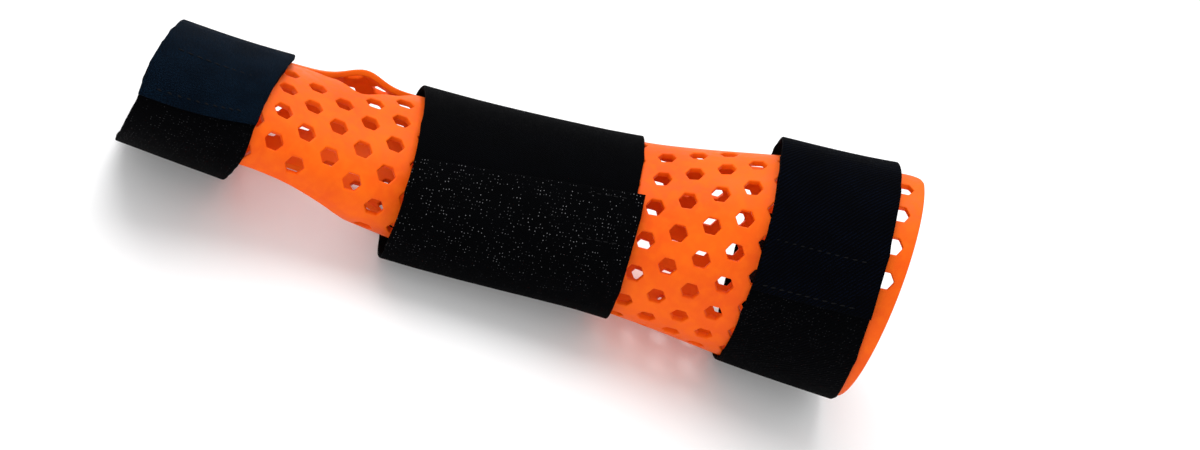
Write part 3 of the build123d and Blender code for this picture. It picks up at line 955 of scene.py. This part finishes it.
def math_of(tree, operation, a, b=0.0, c=0.0):
    return node(tree, "Math", {0: a, 1: b, 2: c}, operation=operation).outputs[0]


def wave(tree, value, spacing):
    """A wave from -1 to 1 that repeats every spacing."""
    return math_of(tree, "SINE", math_of(tree, "MULTIPLY", value, 2 * math.pi / spacing))


def noise(tree, vector, scale, detail=2.0):
    return node(tree, "TexNoise", {"Vector": vector, "Scale": scale, "Detail": detail}).outputs[0]


def cells(tree, vector, scale, randomness):
    """Distance from the middle of the nearest cell of an even pattern."""
    inputs = {"Vector": vector, "Scale": scale, "Randomness": randomness}
    return node(tree, "TexVoronoi", inputs).outputs["Distance"]


def mix_colours(tree, share, a, b):
    """A mix of two colours, each a socket or a red, green and blue value."""
    a, b = (value if isinstance(value, bpy.types.NodeSocket) else (*value, 1) for value in (a, b))
    return node(tree, "Mix", {0: share, 6: a, 7: b}, data_type="RGBA").outputs[2]


def ramp(tree, value, low, high, to_low=0.0, to_high=1.0):
    """A value taken smoothly from one range to another."""
    inputs = {0: value, 1: low, 2: high, 3: to_low, 4: to_high}
    return node(tree, "MapRange", inputs, interpolation_type="SMOOTHSTEP").outputs[0]


def coloured(tree, shader, colour):
    tree.links.new(colour, shader.inputs["Base Color"])


def bumped(tree, shader, height, distance, strength=1.0):
    bump = node(tree, "Bump", {"Height": height, "Distance": distance, "Strength": strength})
    tree.links.new(bump.outputs[0], shader.inputs["Normal"])


BLACK = (0.0004, 0.0004, 0.0006)
DEEP_ORANGE = (0.86, 0.086, 0.0004)
ORANGE = (0.97, 0.128, 0.0008)
BRIGHT_ORANGE = (1.0, 0.175, 0.003)
# painted glints: the grey of light caught on the elastic's loops
GLINT_GREY = (0.2, 0.2, 0.21)
RIB = 1.25  # spacing of the elastic's ribs across the tape
# spacing and scatter of the painted glints' dots
GLINT_CELLS = {"scale": 0.78, "randomness": 0.35}
HOOKS = {"scale": 900.0, "randomness": 0.3}


def orange_plastic():
    material, tree, shader = new_material("orange_thermoplastic", Specular_IOR_Level=0.14)
    place = object_place(tree)
    broad = noise(tree, place, 28.0, 3.0)
    mottle = noise(tree, place, 260.0, 3.0)
    grain = noise(tree, place, 1500.0)
    colour = mix_colours(tree, ramp(tree, broad, 0.3, 0.7), DEEP_ORANGE, ORANGE)
    colour = mix_colours(tree, ramp(tree, mottle, 0.35, 0.75, 0.0, 0.35), colour, BRIGHT_ORANGE)
    coloured(tree, shader, colour)
    tree.links.new(ramp(tree, mottle, 0.3, 0.7, 0.42, 0.58), shader.inputs["Roughness"])
    bumped(tree, shader, math_of(tree, "MULTIPLY_ADD", grain, 0.35, mottle), 0.00012, 0.6)
    return material


def elastic(name, dark, lit, pick=0.9, twill=0.0, nap=0.0, glint_stretch=None, glint_share=1.0):
    """Woven elastic, brushed to a nap, or slanting if it has a twill.

    pick is the spacing of the weave along the tape.  lit is a painted sheen, the colour of fibres that
    catch the light.  glint_stretch is the stretch of tape, as (from, to), over which painted glints,
    light caught on the weave's loops, start to show, and glint_share how many do.
    """
    material, tree, shader = new_material(name, Roughness=0.85, Specular_IOR_Level=0.02)
    cloth = node(tree, "Attribute", attribute_name="cloth").outputs["Vector"]
    split = node(tree, "SeparateXYZ", {0: cloth})
    across, run = split.outputs[0], split.outputs[1]
    picks = wave(tree, math_of(tree, "MULTIPLY_ADD", across, twill, run), pick)
    if twill:
        weave = math_of(tree, "MULTIPLY_ADD", picks, 0.5, 0.5)
    else:
        wobble = math_of(tree, "MULTIPLY", noise(tree, cloth, 0.35), 0.7)
        ribs = wave(tree, math_of(tree, "ADD", across, wobble), RIB)
        weave = math_of(tree, "MULTIPLY_ADD", math_of(tree, "MULTIPLY", ribs, picks), 0.5, 0.5)
    fibres = noise(tree, cloth, 2.2, 3.0)
    nap_height = math_of(tree, "MULTIPLY", fibres, 0.5 + nap)
    bumped(tree, shader, math_of(tree, "MULTIPLY_ADD", weave, 0.6, nap_height), 0.00035)

    # painted sheen: fibres that catch the light, and with a twill its ribs, take the lit colour, in
    # random patches
    patches = ramp(tree, noise(tree, cloth, 0.09), 0.25, 0.75, 0.45, 1.0)
    share = math_of(tree, "MULTIPLY", ramp(tree, fibres, 0.38, 0.7), patches)
    if twill:
        share = math_of(tree, "MULTIPLY", share, ramp(tree, weave, 0.2, 0.9, 0.15, 1.0))
    colour = mix_colours(tree, share, dark, lit)
    # painted glints: grey dots where the weave's loops catch the light, in streaks, from a stretch of the
    # tape on
    if glint_stretch:
        glint_spot = ramp(tree, cells(tree, cloth, **GLINT_CELLS), 0.09, 0.17, 1.0, 0.0)
        streaks = ramp(tree, noise(tree, cloth, 0.22), 0.40, 0.62, 0.1, glint_share)
        chance = math_of(tree, "MULTIPLY", ramp(tree, run, *glint_stretch), streaks)
        colour = mix_colours(tree, math_of(tree, "MULTIPLY", glint_spot, chance), colour, GLINT_GREY)
    coloured(tree, shader, colour)
    return material


def hook_tape():
    material, tree, shader = new_material("hook_tape", Roughness=0.55, Specular_IOR_Level=0.3)
    hooks = cells(tree, object_place(tree), **HOOKS)
    share = ramp(tree, hooks, 0.1, 0.6)
    coloured(tree, shader, mix_colours(tree, share, (0.004, 0.004, 0.005), (0.001, 0.001, 0.0014)))
    bumped(tree, shader, ramp(tree, hooks, 0.1, 0.6, 1.0, 0.0), 0.0004)
    return material


def thread():
    material, tree, shader = new_material("sewing_thread", Roughness=0.7, Specular_IOR_Level=0.1)
    twist = noise(tree, object_place(tree), 3000.0, 1.0)
    coloured(tree, shader, mix_colours(tree, twist, (0.0008, 0.0008, 0.0012), (0.004, 0.004, 0.005)))
    bumped(tree, shader, twist, 0.0001)
    return material


def floor_paper():
    material, tree, shader = new_material("pale_floor", Roughness=0.9, Specular_IOR_Level=0.1,
                                          Emission_Color=(1, 1, 1, 1), Emission_Strength=0.12)
    grain = noise(tree, object_place(tree), 40.0)
    coloured(tree, shader, mix_colours(tree, grain, (0.86, 0.86, 0.87), (0.88, 0.88, 0.88)))
    return material


MATERIALS = {
    "orange": orange_plastic(),
    # hand_strap and forearm_strap are the elastic as it looks in the light, worn by each flap and bridge;
    # the two _under materials are the same elastic darkened as painted shade, for the bands below the
    # flaps, which face down
    "hand_strap": elastic("brushed_elastic", (0.0008, 0.002, 0.0045), (0.004, 0.014, 0.03), nap=0.9),
    "hand_strap_under": elastic("brushed_elastic_shaded", BLACK, (0.0016, 0.0018, 0.0026),
                                glint_stretch=(-2, -1), glint_share=0.25),
    "wrist_strap": elastic("wide_elastic", BLACK, (0.0011, 0.0014, 0.0024)),
    "wrist_strap_flap": elastic("wide_elastic_flap", BLACK, (0.0014, 0.0016, 0.0024), glint_stretch=(14, 48)),
    "forearm_strap": elastic("twill_elastic", BLACK, (0.0018, 0.0042, 0.013), pick=1.7, twill=1.0),
    "forearm_strap_under": elastic("twill_elastic_shaded", BLACK, (0.0009, 0.0013, 0.0032),
                                   pick=1.7, twill=1.0, glint_stretch=(-2, -1), glint_share=0.12),
    "hook_tape": hook_tape(),
    "thread": thread(),
}


# ---------------------------------------------------------------- the splint
def dress_hook_tape():
    """The hook patches and tabs keep their CAD shape."""
    for name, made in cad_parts.items():
        if name.endswith("hook_patch") or name.endswith("hook_tab"):
            made.data.materials.clear()
            made.data.materials.append(MATERIALS["hook_tape"])


build_shell(MATERIALS["orange"])
narrow_strap("hand_strap", seed=2, wave=HAND_WAVE_HEIGHT, edges=HAND_EDGES)
narrow_strap("forearm_strap", seed=5, swell=raised_corner, edges=FOREARM_EDGES)
wrist_strap("wrist_strap", seed=9, swell=loose_edge)
dress_hook_tape()


# ---------------------------------------------------------------- floor, light and camera
# Sizes and places here are in metres, but for the camera's place, and angles in degrees.
FLOOR_REACH = 5.0
FLOOR_GAP = 0.0006
DAYLIGHT = 0.8
LIGHT_AIM = (0, 0, 0.04)
KEY = {"place": (-0.3, 0.4, 1.25), "size": 1.3, "power": 13.0}
FILL = {"place": (-0.5, -1.1, 0.7), "size": 1.2, "power": 1.5}
CAMERA_PLACE = np.array((-79.8, -547.1, 413.5))  # millimetres, as the stations are
CAMERA_TURN, CAMERA_DROP, CAMERA_ROLL = 8.04, 34.20, 29.28
LENS = 48.44
SENSOR_WIDTH = 36.0
CLIP_START = 0.01


def show(thing):
    bpy.context.scene.collection.objects.link(thing)


def add_floor():
    far = FLOOR_REACH
    mesh = bpy.data.meshes.new("floor")
    mesh.from_pydata([(-far, -far, 0), (far, -far, 0), (far, far, 0), (-far, far, 0)], [], [(0, 1, 2, 3)])
    mesh.materials.append(floor_paper())
    floor = bpy.data.objects.new("floor", mesh)
    floor.location.z = cad_box[0][2] - FLOOR_GAP
    show(floor)


def add_world():
    world = bpy.data.worlds.new("studio")
    world.use_nodes = True
    background = world.node_tree.nodes["Background"]
    background.inputs["Color"].default_value = (1.0, 1.0, 1.0, 1.0)
    background.inputs["Strength"].default_value = DAYLIGHT
    bpy.context.scene.world = world


def add_light(name, place, size, power):
    light = bpy.data.lights.new(name, "AREA")
    light.shape = "DISK"
    light.size = size
    light.energy = power
    lamp = bpy.data.objects.new(name, light)
    lamp.location = place
    lamp.rotation_euler = (Vector(LIGHT_AIM) - Vector(place)).to_track_quat("-Z", "Y").to_euler()
    show(lamp)


def add_camera():
    place = (CAMERA_PLACE - ORIGIN) * MM
    turn, drop, roll = (math.radians(a) for a in (CAMERA_TURN, CAMERA_DROP, CAMERA_ROLL))
    forward = Vector((math.cos(drop) * math.sin(turn), math.cos(drop) * math.cos(turn), -math.sin(drop)))
    level = forward.cross(Vector((0, 0, 1))).normalized()
    right = level * math.cos(roll) + level.cross(forward) * math.sin(roll)
    up = right.cross(forward)
    camera = bpy.data.objects.new("camera", bpy.data.cameras.new("camera"))
    camera.data.lens = LENS
    camera.data.sensor_width = SENSOR_WIDTH
    camera.data.clip_start = CLIP_START
    rotation = Matrix((right, up, -forward)).transposed().to_4x4()
    camera.matrix_world = Matrix.Translation(Vector(place)) @ rotation
    show(camera)
    bpy.context.scene.camera = camera


add_floor()
add_world()
add_light("key", **KEY)
add_light("fill", **FILL)
add_camera()
bpy.context.scene.view_settings.view_transform = "Standard"
